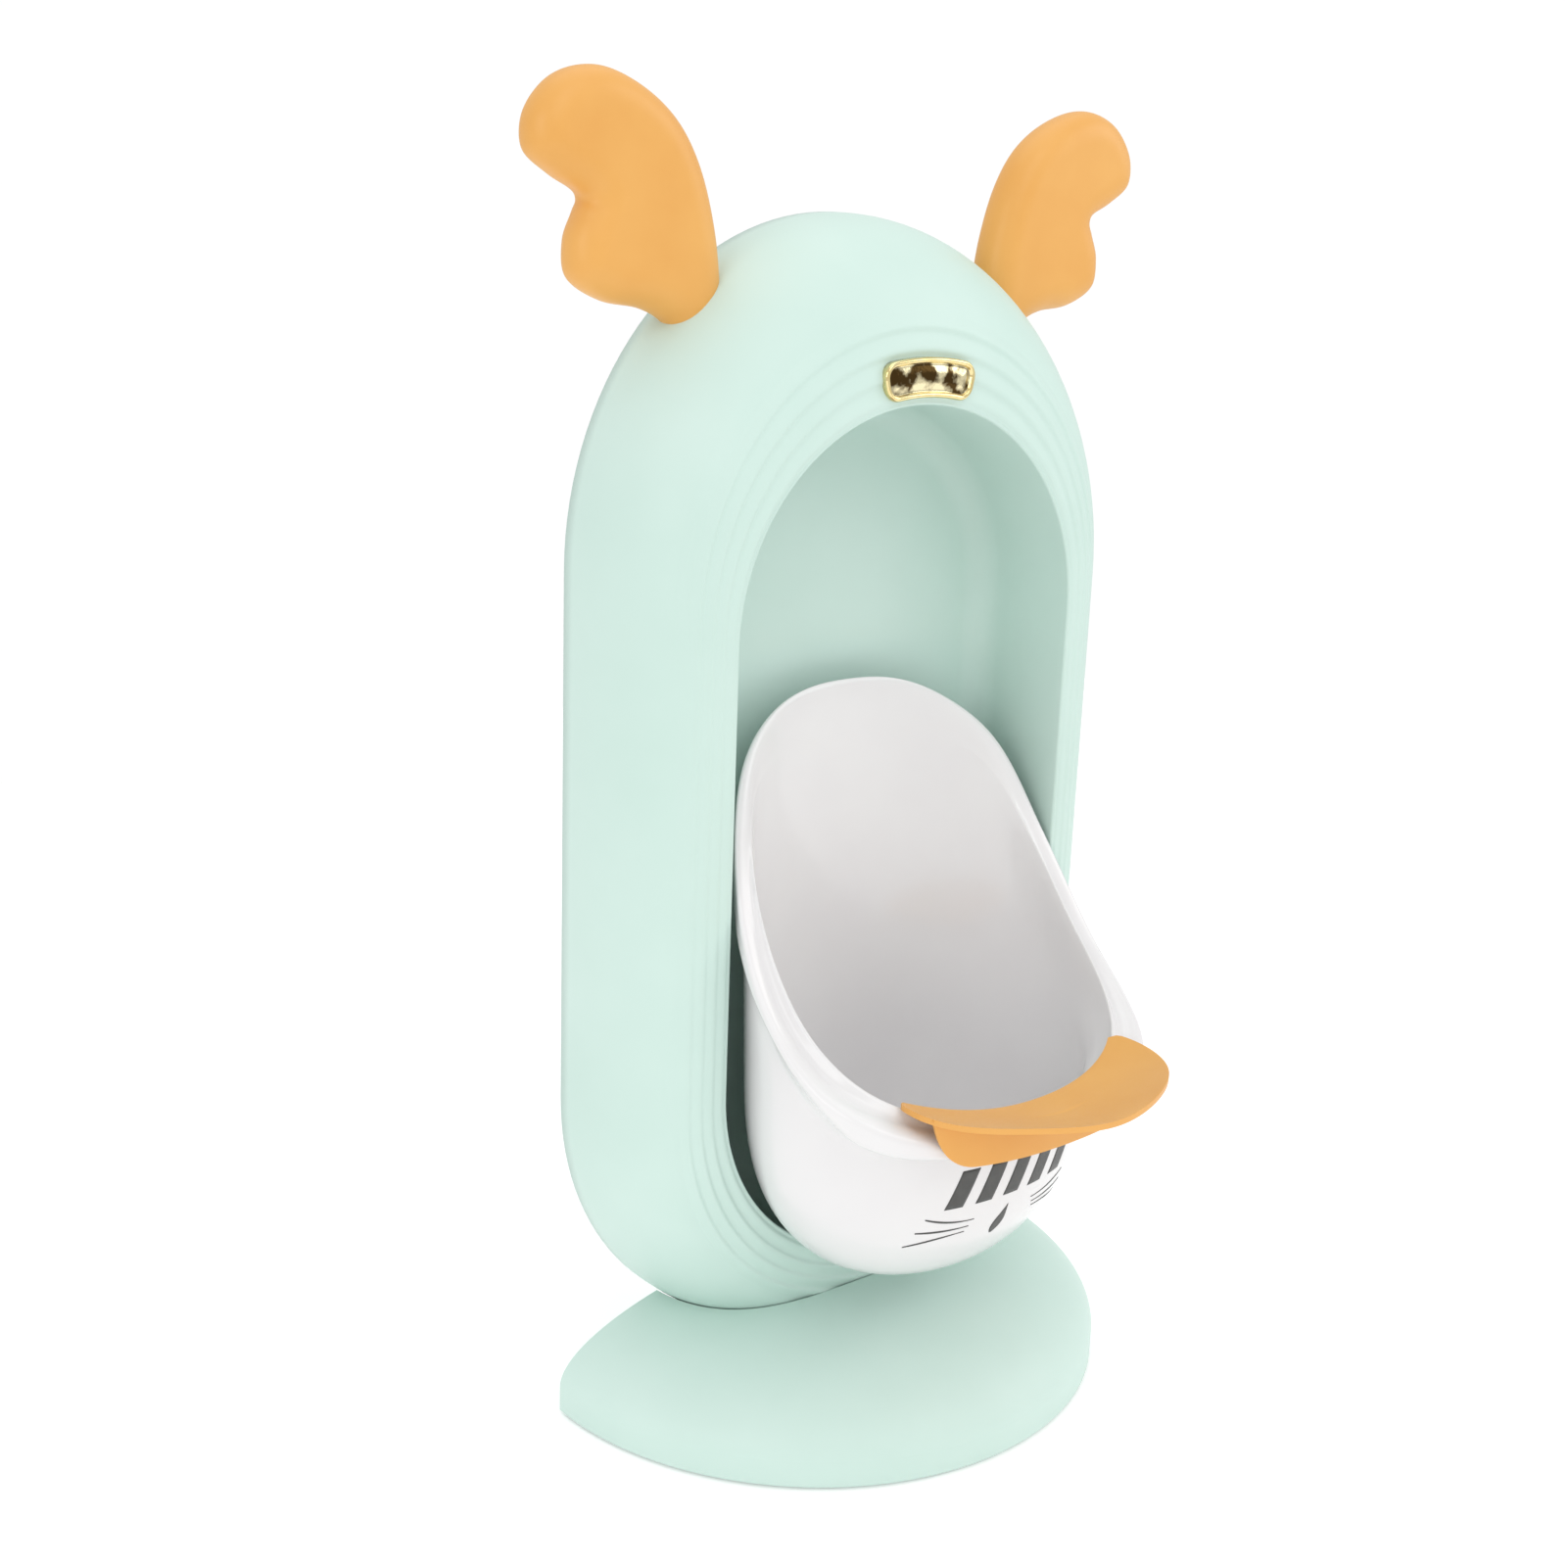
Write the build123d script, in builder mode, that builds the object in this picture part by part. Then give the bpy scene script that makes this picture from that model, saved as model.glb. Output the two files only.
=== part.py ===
import os
from math import cos, radians, sin

from build123d import *

os.makedirs("parts", exist_ok=True)

# Free-standing training urinal: a hollow upright body with an arched niche, two antlers, a tub that
# hangs in the niche on a bevelled cleat, a clip-on splash guard and a domed foot.
# Millimetres. +Z is up and the front faces -Y. A "depth" is a distance forward of the body's back.

# ---- driving dimensions ----
back_y = 80.0                # Y of the body's back, so that the whole object is centred on Y = 0
wall = 2.6                   # moulded wall
gap = 0.4                    # assembly gap between covers and shells

body_half_width = 107.5
body_top_centre = 303.2
body_top_rise = 115.0
body_bottom_centre = 118.7
body_bottom_rise = 109.6
rim_depth = 52.0             # depth of the front rim
rim_half_width = 76.0        # where the front face meets the edge of the opening
shoulder_power = 2.31        # squareness of the rounded shoulder, 2 is an ellipse
shoulder_angles = (0, 16, 32, 48, 62, 75, 90)

niche_half_width = 74.8
niche_top_centre = 282.7
niche_bottom_centre = 129.8
niche_back = 7.1             # depth of the wall behind the tub
niche_corner = 11.0

seat_z = 15.0                # flat that the body stands on inside the foot

foot_centre = 7.7            # depth of the foot's straight back edge
foot_radius = 112.0
foot_edge = 10.5
foot_rise = 32.0             # dome above the edge
foot_lift = 1.2              # cover's lower edge above the floor
plate_z = 1.6
plate_top = 4.6

tub_power = 2.4              # plan of the tub, a squarish ellipse
tub_floor_z = 56.5
tub_round = 49.0             # height of the rounded bottom
tub_half_width = 68.0        # at draft_z
tub_half_depth = 51.0
tub_centre = 68.5
tub_draft = 0.0013           # growth for each mm of height
draft_z = 150.0
tub_top_z = 262.0
draft_stop_z = 192.0         # the tub is straight above here
lip_half_width = 72.8        # outside of the lip
lip_half_depth = 60.0
lip_centre = 73.0
rim_inner_width = 66.7       # inner edge of the lip
rim_inner_depth = 52.2
rim_centre = 70.8
# side views of the mouth as depth, height, from the arched top down to the front lip: the tub's wall,
# the outer edge of the lip, and the underside of the lip's band, which deepens to a collar at the front
mouth_line = ((8, 243.5), (16.5, 241.5), (24, 236), (34, 227), (50, 201.5), (70, 174), (95, 151.5), (115, 139),
              (130, 132.5), (142, 130))
lip_line = ((8, 261), (16, 258.5), (24, 249), (34, 234.5), (50, 204.5), (70, 174.3), (95, 152), (115, 139.5),
            (130, 133), (142, 130.5))
collar_line = ((8, 244), (14, 240), (24, 227), (35, 211.5), (49, 189), (63, 172), (83, 153.5), (94, 145),
               (102, 138.5), (109, 132.5), (117, 129), (142, 127))

hanger_half_width = 28.0
hanger_bottom = 188.0
hanger_thickness = 7.0
bevel_z = 214.0              # where the 45 degree bevel meets the niche wall
cleat_gap = 0.3
hook_half_width = 25.0
hook_top = 232.0

guard_half_width = 52.0
guard_reach = 41.4
guard_centre = 118.6
guard_sheet = 2.2
guard_gap = 0.35
skirt_out = 2.25             # outer face of the skirt beyond the lip
rim_overlap = 1.5            # how far the visor reaches in past the lip's inner edge
skirt_bottom = 122.8
skirt_half_width = 47.0
skirt_corner = 9.0
# top of the guard in side view
visor_line = ((100, 152.8), (108, 147.2), (115, 142.8), (123, 139.4), (131, 138.6), (142, 140.2), (151, 142.2),
              (161, 144.6))
visor_rear = 109.0           # depth of the visor's tips behind the lip's corners

# extent of the slabs and columns that trim the tub and the guard
trim_half_width = 90.0
trim_low, trim_high = 100.0, 270.0

antler_centre = 13.0         # depth of the antler's middle plane
antler_thickness = 22.0
antler_edge = 9.5
antler_wall = 4.0
peg_radius = 6.5
peg_angle = 37.0             # lean of the peg from the vertical
peg_x, peg_z = 67.0, 394.0   # where the peg passes through the shell

badge_inner, badge_outer = 76.6, 90.4
badge_half_angle = 13.6
badge_back, badge_face = 50.6, 54.0

screw_head, screw_shank = 3.5, 1.6
pilot = 1.75
post_radius = 4.4
# X, Z and far depth of the posts that take the rear cover's screws
cover_posts = ((45, 374, 43.5), (-45, 374, 43.5), (91.5, 205, 42.3), (-91.5, 205, 42.3), (45, 50, 46.8),
               (-45, 50, 46.8))
# X, depth and top of the posts that take the foot plate's screws
plate_posts = ((70, 40, 31), (-70, 40, 31), (45, 88, 26), (-45, 88, 26), (0, 100, 26))
rubber_feet = {"rear_right_foot": (92, 22), "rear_left_foot": (-92, 22),
               "front_right_foot": (68, 74), "front_left_foot": (-68, 74)}
rubber_radius = 9.0
stand_screw_x, stand_screw_depth = 20.0, 16.0
stand_shank, stand_head = 2.4, 4.6
hanger_screw_x, hanger_screw_z = 18.0, 202.0


def y_at(depth):
    return back_y - depth


def upright(depth):
    """Plane that faces forward at a depth: its x is X and its y is Z."""
    return Plane.XZ.offset(depth - back_y)


def capsule(depth, half_width, top_centre, top_rise, bottom_centre, bottom_rise):
    """Upright face with an arc at each end."""
    with BuildSketch(upright(depth)) as outline:
        with BuildLine():
            EllipticalCenterArc((0, top_centre), half_width, top_rise, 0, arc_size=180)
            Line((-half_width, top_centre), (-half_width, bottom_centre))
            EllipticalCenterArc((0, bottom_centre), half_width, bottom_rise, 180, arc_size=180)
            Line((half_width, bottom_centre), (half_width, top_centre))
        make_face()
    return outline.sketch


def body_form(inset, floor_z):
    """Rounded body, set in from the outer skin by inset and cut level at floor_z."""
    with BuildPart() as form:
        for angle in shoulder_angles:
            forward = sin(radians(angle)) ** (2 / shoulder_power)
            outward = max(cos(radians(angle)), 0.0) ** (2 / shoulder_power)
            width = rim_half_width + (body_half_width - rim_half_width) * outward
            top_rise = rim_half_width + (body_top_rise - rim_half_width) * outward
            bottom_rise = rim_half_width + (body_bottom_rise - rim_half_width) * outward
            top = niche_top_centre + (body_top_centre - niche_top_centre) * outward
            bottom = niche_bottom_centre + (body_bottom_centre - niche_bottom_centre) * outward
            add(capsule((rim_depth - inset) * forward, width - inset, top, top_rise - inset, bottom,
                        bottom_rise - inset))
        loft()
        split(bisect_by=Plane.XY.offset(floor_z), keep=Keep.TOP)
    return form.part


def niche_form(grow, back, front):
    """Niche space with its rounded rear corner, grown outwards by grow."""
    with BuildPart() as form:
        with BuildSketch(upright(back)):
            with Locations((0, (niche_top_centre + niche_bottom_centre) / 2)):
                SlotCenterToCenter(niche_top_centre - niche_bottom_centre, 2 * (niche_half_width + grow), 90)
        extrude(amount=front - back)
        fillet(form.edges().group_by(Axis.Y)[-1], niche_corner + grow)
    return form.part


def oval(half_width, half_depth, centre, z):
    """Squarish ellipse seen from above, as a face at height z."""
    quarter = 12
    points = []
    for step in range(4 * quarter):
        turn = radians(90) * step / quarter
        x = half_width * abs(cos(turn)) ** (2 / tub_power) * (1 if cos(turn) > 0 else -1)
        d = half_depth * abs(sin(turn)) ** (2 / tub_power) * (1 if sin(turn) > 0 else -1)
        points.append((x, y_at(centre + d)))
    with BuildSketch(Plane.XY.offset(z)) as plan:
        with BuildLine():
            Spline(points, periodic=True)
        make_face()
    return plan.sketch


def tub_form(inset):
    """Round-bottomed tub without its mouth, set in from the outside by inset."""
    floor = tub_floor_z + inset
    heights = [floor + part * tub_round for part in (0.012, 0.05, 0.13, 0.27, 0.47, 0.72, 1.0)]
    with BuildPart() as form:
        for z in heights + [draft_z, draft_stop_z, 225, tub_top_z]:
            rounding = (1 - (1 - min((z - floor) / tub_round, 1)) ** 2.26) ** (1 / 2.26)
            size = rounding * (1 + tub_draft * (min(z, draft_stop_z) - draft_z))
            add(oval((tub_half_width - inset) * size, (tub_half_depth - inset) * size, tub_centre, z))
        loft()
    return form.part


def side_band(upper, lower):
    """Slab between two side-view lines, running across X."""
    with BuildPart() as band:
        with BuildSketch(Plane.YZ):
            with BuildLine():
                top = Spline([(y_at(d), z) for d, z in upper])
                bottom = Spline([(y_at(d), z) for d, z in lower])
                Line(top @ 0, bottom @ 0)
                Line(top @ 1, bottom @ 1)
            make_face()
        extrude(amount=trim_half_width, both=True)
    return band.part


def below_line(line):
    """Everything under a side-view line, down to the floor."""
    with BuildPart() as block:
        with BuildSketch(Plane.YZ):
            with BuildLine():
                top = Spline([(y_at(d), z) for d, z in line])
                Polyline(top @ 0, (y_at(line[0][0]) + 40, line[0][1]), (y_at(line[0][0]) + 40, 0),
                         (y_at(line[-1][0]), 0), top @ 1)
            make_face()
        extrude(amount=trim_half_width, both=True)
    return block.part


def oval_column(half_width, half_depth, centre):
    """Upright column of the lip's plan."""
    with BuildPart() as column:
        add(oval(half_width, half_depth, centre, trim_low))
        extrude(amount=trim_high - trim_low)
    return column.part


outer_form = body_form(0, seat_z)
inner_form = body_form(wall, seat_z + wall)
clear_form = body_form(-gap, seat_z - gap)
niche_space = niche_form(0, niche_back, rim_depth + 10)
niche_tub = niche_form(wall, niche_back - wall, rim_depth - 1.5)

# ---- front shell: outer skin, rim and niche in one moulding, open at the back ----
with BuildPart() as front_shell:
    add(outer_form)
    add(inner_form, mode=Mode.SUBTRACT)
    add(niche_tub)
    for x, z, far in cover_posts:
        with BuildSketch(upright(3.2)):
            with Locations((x, z)):
                Circle(post_radius)
        extrude(amount=far - 3.2)
    with BuildSketch(Plane.XY.offset(seat_z)):
        with Locations((0, y_at(stand_screw_depth))):
            Rectangle(58, 20)
    extrude(amount=18)
    add(niche_space, mode=Mode.SUBTRACT)
    for x, z, far in cover_posts:
        with BuildSketch(upright(3.2)):
            with Locations((x, z)):
                Circle(pilot)
        extrude(amount=16, mode=Mode.SUBTRACT)
    with BuildSketch(Plane.XY.offset(seat_z)):
        with Locations((stand_screw_x, y_at(stand_screw_depth)), (-stand_screw_x, y_at(stand_screw_depth))):
            Circle(stand_shank + 0.1)
    extrude(amount=15, mode=Mode.SUBTRACT)
    with BuildSketch(upright(niche_back)):
        with Locations((hanger_screw_x, hanger_screw_z), (-hanger_screw_x, hanger_screw_z)):
            Circle(pilot)
    extrude(amount=-6, mode=Mode.SUBTRACT)
    for side in (1, -1):
        peg_plane = Plane(origin=(side * peg_x, y_at(antler_centre), peg_z),
                          z_dir=(side * sin(radians(peg_angle)), 0, cos(radians(peg_angle))))
        with BuildSketch(peg_plane):
            Circle(peg_radius + 0.3)
        extrude(amount=12, both=True, mode=Mode.SUBTRACT)
    with BuildSketch(upright(badge_back - 0.2)) as badge_pocket:
        with BuildLine():
            CenterArc((0, niche_top_centre), badge_outer + 0.3, 90 - badge_half_angle, 2 * badge_half_angle)
            CenterArc((0, niche_top_centre), badge_inner - 0.3, 90 - badge_half_angle, 2 * badge_half_angle)
            for end in (-1, 1):
                turn = radians(90 + end * badge_half_angle)
                Line(((badge_inner - 0.3) * cos(turn), niche_top_centre + (badge_inner - 0.3) * sin(turn)),
                     ((badge_outer + 0.3) * cos(turn), niche_top_centre + (badge_outer + 0.3) * sin(turn)))
        make_face()
        fillet(badge_pocket.vertices(), 4)
    extrude(amount=8, mode=Mode.SUBTRACT)
front_shell.part.label = "front_shell"
export_step(front_shell.part, "parts/front_shell.step")

# ---- rear cover: flat panel inside the shell's back edge ----
with BuildPart() as back_cover:
    inset = wall + gap
    add(capsule(0.4, body_half_width - inset, body_top_centre, body_top_rise - inset, body_bottom_centre,
                body_bottom_rise - inset))
    extrude(amount=2.2, dir=(0, -1, 0))
    split(bisect_by=Plane.XY.offset(seat_z + wall + gap), keep=Keep.TOP)
    for x, z, far in cover_posts:
        with BuildSketch(upright(0.4)):
            with Locations((x, z)):
                Circle(screw_shank + 0.3)
        extrude(amount=2.2, mode=Mode.SUBTRACT)
        with BuildSketch(upright(0.4)):
            with Locations((x, z)):
                Circle(screw_head + 0.3)
        extrude(amount=1.4, mode=Mode.SUBTRACT)
back_cover.part.label = "back_cover"
export_step(back_cover.part, "parts/back_cover.step")

with BuildPart() as back_cover_screws:
    for x, z, far in cover_posts:
        with BuildSketch(upright(0.5)):
            with Locations((x, z)):
                Circle(screw_head)
        extrude(amount=1.2)
        with BuildSketch(upright(1.7)):
            with Locations((x, z)):
                Circle(screw_shank)
        extrude(amount=14)
back_cover_screws.part.label = "back_cover_screws"
export_step(back_cover_screws.part, "parts/back_cover_screws.step")

# ---- cleat on the niche's rear wall, and its screws from behind ----
with BuildPart() as bowl_hanger:
    front = niche_back + hanger_thickness
    with BuildSketch(Plane.YZ):
        with BuildLine():
            Polyline((y_at(niche_back), hanger_bottom), (y_at(niche_back), bevel_z),
                     (y_at(front), bevel_z + hanger_thickness), (y_at(front), hanger_bottom), close=True)
        make_face()
    extrude(amount=hanger_half_width, both=True)
    fillet(bowl_hanger.edges().filter_by(Axis.Y).group_by(Axis.Z)[0], 5)
    with BuildSketch(upright(niche_back)):
        with Locations((hanger_screw_x, hanger_screw_z), (-hanger_screw_x, hanger_screw_z)):
            Circle(pilot)
    extrude(amount=5.5, mode=Mode.SUBTRACT)
bowl_hanger.part.label = "bowl_hanger"
export_step(bowl_hanger.part, "parts/bowl_hanger.step")

with BuildPart() as hanger_screws:
    with BuildSketch(upright(niche_back - wall - 1.6)):
        with Locations((hanger_screw_x, hanger_screw_z), (-hanger_screw_x, hanger_screw_z)):
            Circle(screw_head)
    extrude(amount=1.6)
    with BuildSketch(upright(niche_back - wall)):
        with Locations((hanger_screw_x, hanger_screw_z), (-hanger_screw_x, hanger_screw_z)):
            Circle(screw_shank)
    extrude(amount=7.6)
hanger_screws.part.label = "hanger_screws"
export_step(hanger_screws.part, "parts/hanger_screws.step")

# ---- tub: rounded bowl with a lip round its sloping mouth and a bevelled hook behind ----
tub_space = tub_form(wall)
mouth_block = below_line(mouth_line)
with BuildPart() as bowl:
    add(tub_form(0))
    with BuildSketch(Plane.YZ):
        hook_back = niche_back + 0.5
        low = bevel_z + 0.5 + cleat_gap * 2 ** 0.5
        with BuildLine():
            Polyline((y_at(hook_back), low), (y_at(hook_back), hook_top), (y_at(23), hook_top),
                     (y_at(23), low + 23 - hook_back), close=True)
        make_face()
    extrude(amount=hook_half_width, both=True)
    add(mouth_block, mode=Mode.INTERSECT)
lip_outside = oval_column(lip_half_width, lip_half_depth, lip_centre)
lip_inside = oval_column(rim_inner_width, rim_inner_depth, rim_centre)
lip_floor = below_line([(d, z + wall) for d, z in collar_line])
lip_well = lip_inside - lip_floor
with BuildPart() as lip:
    add(lip_outside)
    add(side_band(lip_line, collar_line), mode=Mode.INTERSECT)
    add(lip_well, mode=Mode.SUBTRACT)
with BuildPart() as tub:
    add(bowl.part)
    add(lip.part)
    add(tub_space, mode=Mode.SUBTRACT)
tub.part.label = "bowl"
export_step(tub.part, "parts/bowl.step")

# ---- splash guard: visor over the front lip, skirt outside it and a small hook inside ----
with BuildPart() as visor:
    with BuildSketch(Plane.XY.offset(110)):
        with Locations((0, y_at(guard_centre))):
            Ellipse(guard_half_width, guard_reach)
        with Locations((0, y_at((guard_centre + visor_rear) / 2))):
            Rectangle(2 * guard_half_width, guard_centre - visor_rear)
    extrude(amount=60)
    add(side_band(visor_line, [(d, z - guard_sheet) for d, z in visor_line]), mode=Mode.INTERSECT)
with BuildPart() as skirt:
    with BuildSketch(upright(100)) as skirt_face:
        with Locations((0, skirt_bottom + 20)):
            RectangleRounded(2 * skirt_half_width, 40, skirt_corner)
    extrude(amount=40)
    add(oval_column(lip_half_width + skirt_out, lip_half_depth + skirt_out, lip_centre), mode=Mode.INTERSECT)
    add(below_line([(d, z - 1) for d, z in visor_line]), mode=Mode.INTERSECT)
mouth_space = oval_column(rim_inner_width - rim_overlap, rim_inner_depth - rim_overlap, rim_centre)
lip_space = oval_column(lip_half_width + guard_gap, lip_half_depth + guard_gap, lip_centre) \
    & below_line([(d, z + guard_gap) for d, z in lip_line])
with BuildPart() as splash_guard:
    add(visor.part)
    add(skirt.part)
    add(mouth_space, mode=Mode.SUBTRACT)
    add(lip_space, mode=Mode.SUBTRACT)
splash_guard.part.label = "splash_guard"
export_step(splash_guard.part, "parts/splash_guard.step")

# ---- antlers: two-lobed hollow mouldings with a peg into the shoulder ----
with BuildPart() as blade:
    with BuildSketch(upright(antler_centre - antler_thickness / 2)) as blade_face:
        with BuildLine():
            inner = ThreePointArc((57, 392), (72, 438.5), (111, 457.8))
            upper = TangentArc(inner @ 1, (121, 422), tangent=inner % 1)
            lower = ThreePointArc((114.5, 411.5), (117.4, 402), (101, 386.6))
            Line(upper @ 1, lower @ 0)
            Polyline(lower @ 1, (70, 382.5), inner @ 0)
        make_face()
    extrude(amount=antler_thickness)
    fillet(blade.faces().filter_by(Axis.Y).edges(), antler_edge)
with BuildPart() as antler_hollow:
    with BuildSketch(upright(antler_centre - antler_thickness / 2 + antler_wall)):
        add(blade_face.sketch_local)
        offset(amount=-antler_wall, mode=Mode.REPLACE)
    extrude(amount=antler_thickness - 2 * antler_wall)
    with BuildSketch(Plane.XY.offset(403)):
        Rectangle(400, 200)
    extrude(amount=-60, mode=Mode.SUBTRACT)
peg_axis = Plane(origin=(peg_x, y_at(antler_centre), peg_z),
                 z_dir=(sin(radians(peg_angle)), 0, cos(radians(peg_angle))))
with BuildPart() as right_antler:
    add(blade.part)
    add(antler_hollow.part, mode=Mode.SUBTRACT)
    add(clear_form, mode=Mode.SUBTRACT)
    with BuildSketch(peg_axis.offset(-12)):
        Circle(peg_radius)
    extrude(amount=16)
    with BuildSketch(peg_axis.offset(-12)):
        Circle(pilot)
    extrude(amount=22, mode=Mode.SUBTRACT)
with BuildPart() as left_antler:
    mirror(right_antler.part, about=Plane.YZ)
for side in (right_antler, left_antler):
    side.part.label = "right_antler" if side is right_antler else "left_antler"
    export_step(side.part, "parts/" + side.part.label + ".step")

with BuildPart() as antler_screws:
    with BuildSketch(peg_axis.offset(-15.2)):
        Circle(screw_head)
    extrude(amount=1.8)
    with BuildSketch(peg_axis.offset(-13.4)):
        Circle(screw_shank)
    extrude(amount=20)
    mirror(about=Plane.YZ)
antler_screws.part.label = "antler_screws"
export_step(antler_screws.part, "parts/antler_screws.step")

with BuildPart() as antler_washers:
    with BuildSketch(peg_axis.offset(-13.4)):
        Circle(peg_radius + 3)
        Circle(screw_shank + 0.2, mode=Mode.SUBTRACT)
    extrude(amount=1.2)
    mirror(about=Plane.YZ)
antler_washers.part.label = "antler_washers"
export_step(antler_washers.part, "parts/antler_washers.step")

# ---- badge: plain arched plate in a shallow pocket above the niche ----
with BuildPart() as badge:
    with BuildSketch(upright(badge_back)):
        add(badge_pocket.sketch_local)
        offset(amount=-0.3, mode=Mode.REPLACE)
    extrude(amount=badge_face - badge_back)
    with BuildSketch(upright(badge_face)):
        add(badge_pocket.sketch_local)
        offset(amount=-1.6, mode=Mode.REPLACE)
    extrude(amount=-0.8, mode=Mode.SUBTRACT)
badge.part.label = "badge"
export_step(badge.part, "parts/badge.step")

# ---- foot: domed half-round cover with a cradle for the body, plate, screws and rubber feet ----
foot_plane = Plane(origin=(0, y_at(foot_centre), 0), x_dir=(1, 0, 0), z_dir=(0, -1, 0))
with BuildPart() as foot_cover:
    with BuildSketch(foot_plane):
        with BuildLine():
            edge = Line((foot_radius, foot_lift), (foot_radius, foot_edge))
            dome = EllipticalCenterArc((0, foot_edge), foot_radius, foot_rise, 0, arc_size=90)
            Polyline(dome @ 1, (0, foot_lift), edge @ 0)
        make_face()
    revolve(axis=Axis((0, y_at(foot_centre), 0), (0, 0, 1)), revolution_arc=-180)
    with BuildSketch(foot_plane):
        with BuildLine():
            edge = Line((foot_radius - wall, 0), (foot_radius - wall, foot_edge))
            dome = EllipticalCenterArc((0, foot_edge), foot_radius - wall, foot_rise - wall, 0, arc_size=90)
            Polyline(dome @ 1, (0, 0), edge @ 0)
        make_face()
    revolve(axis=Axis((0, y_at(foot_centre), 0), (0, 0, 1)), revolution_arc=-180, mode=Mode.SUBTRACT)
    with BuildSketch(foot_plane):
        with BuildLine():
            edge = Line((foot_radius - 0.5, foot_lift), (foot_radius - 0.5, foot_edge))
            dome = EllipticalCenterArc((0, foot_edge), foot_radius - 0.5, foot_rise - 1, 0, arc_size=90)
            top = EllipticalCenterArc((0, foot_edge), foot_radius - 0.5, foot_rise - 1, 90, arc_size=90)
            Polyline(top @ 1, (0.5 - foot_radius, foot_lift), edge @ 0)
        make_face()
    extrude(amount=wall)
    for x, depth, top in plate_posts:
        with BuildSketch(Plane.XY.offset(plate_top)):
            with Locations((x, y_at(depth))):
                Circle(post_radius)
        extrude(amount=top - plate_top)
    add(clear_form, mode=Mode.SUBTRACT)
    for x, depth, top in plate_posts:
        with BuildSketch(Plane.XY.offset(plate_top)):
            with Locations((x, y_at(depth))):
                Circle(pilot)
        extrude(amount=13, mode=Mode.SUBTRACT)
foot_cover.part.label = "foot_cover"
export_step(foot_cover.part, "parts/foot_cover.step")

with BuildPart() as foot_plate:
    with BuildSketch(Plane.XY.offset(plate_z)):
        with Locations((0, y_at(foot_centre))):
            Circle(foot_radius - wall - gap)
        with Locations((0, y_at(foot_centre + wall + gap) + 100)):
            Rectangle(300, 200, mode=Mode.SUBTRACT)
    extrude(amount=plate_top - plate_z)
    with BuildSketch(Plane.XY.offset(plate_top)):
        with Locations((0, y_at(22))):
            Rectangle(66, 20)
    extrude(amount=seat_z - plate_top)
    with BuildSketch(Plane.XY.offset(plate_z)):
        with Locations(*((x, y_at(depth)) for x, depth, top in plate_posts)):
            Circle(screw_shank + 0.3)
        with Locations((stand_screw_x, y_at(stand_screw_depth)), (-stand_screw_x, y_at(stand_screw_depth))):
            Circle(stand_shank + 0.4)
    extrude(amount=seat_z, mode=Mode.SUBTRACT)
    with BuildSketch(Plane.XY.offset(plate_z)):
        with Locations((stand_screw_x, y_at(stand_screw_depth)), (-stand_screw_x, y_at(stand_screw_depth))):
            Circle(stand_head + 0.5)
        with Locations(*((x, y_at(depth)) for x, depth in rubber_feet.values())):
            Circle(rubber_radius + 0.2)
    extrude(amount=1.5, mode=Mode.SUBTRACT)
foot_plate.part.label = "foot_plate"
export_step(foot_plate.part, "parts/foot_plate.step")

with BuildPart() as foot_plate_screws:
    with BuildSketch(Plane.XY.offset(plate_z - 1.3)):
        with Locations(*((x, y_at(depth)) for x, depth, top in plate_posts)):
            Circle(screw_head)
    extrude(amount=1.3)
    with BuildSketch(Plane.XY.offset(plate_z)):
        with Locations(*((x, y_at(depth)) for x, depth, top in plate_posts)):
            Circle(screw_shank)
    extrude(amount=14)
foot_plate_screws.part.label = "foot_plate_screws"
export_step(foot_plate_screws.part, "parts/foot_plate_screws.step")

with BuildPart() as stand_screws:
    with BuildSketch(Plane.XY.offset(plate_z - 1.0)):
        with Locations((stand_screw_x, y_at(stand_screw_depth)), (-stand_screw_x, y_at(stand_screw_depth))):
            Circle(stand_head)
    extrude(amount=2.5)
    with BuildSketch(Plane.XY.offset(plate_z + 1.5)):
        with Locations((stand_screw_x, y_at(stand_screw_depth)), (-stand_screw_x, y_at(stand_screw_depth))):
            Circle(stand_shank)
    extrude(amount=25)
stand_screws.part.label = "stand_screws"
export_step(stand_screws.part, "parts/stand_screws.step")

for name, (x, depth) in rubber_feet.items():
    with BuildPart() as rubber_foot:
        with BuildSketch(Plane.XY):
            with Locations((x, y_at(depth))):
                Circle(rubber_radius)
        extrude(amount=plate_z + 1.5)
        chamfer(rubber_foot.faces().sort_by(Axis.Z)[0].edges(), 0.8)
    rubber_foot.part.label = name
    export_step(rubber_foot.part, "parts/" + name + ".step")
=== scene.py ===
from math import cos, pi, radians, sin, sqrt

import bmesh
import bpy
import numpy as np
from mathutils import Matrix, Vector


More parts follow.
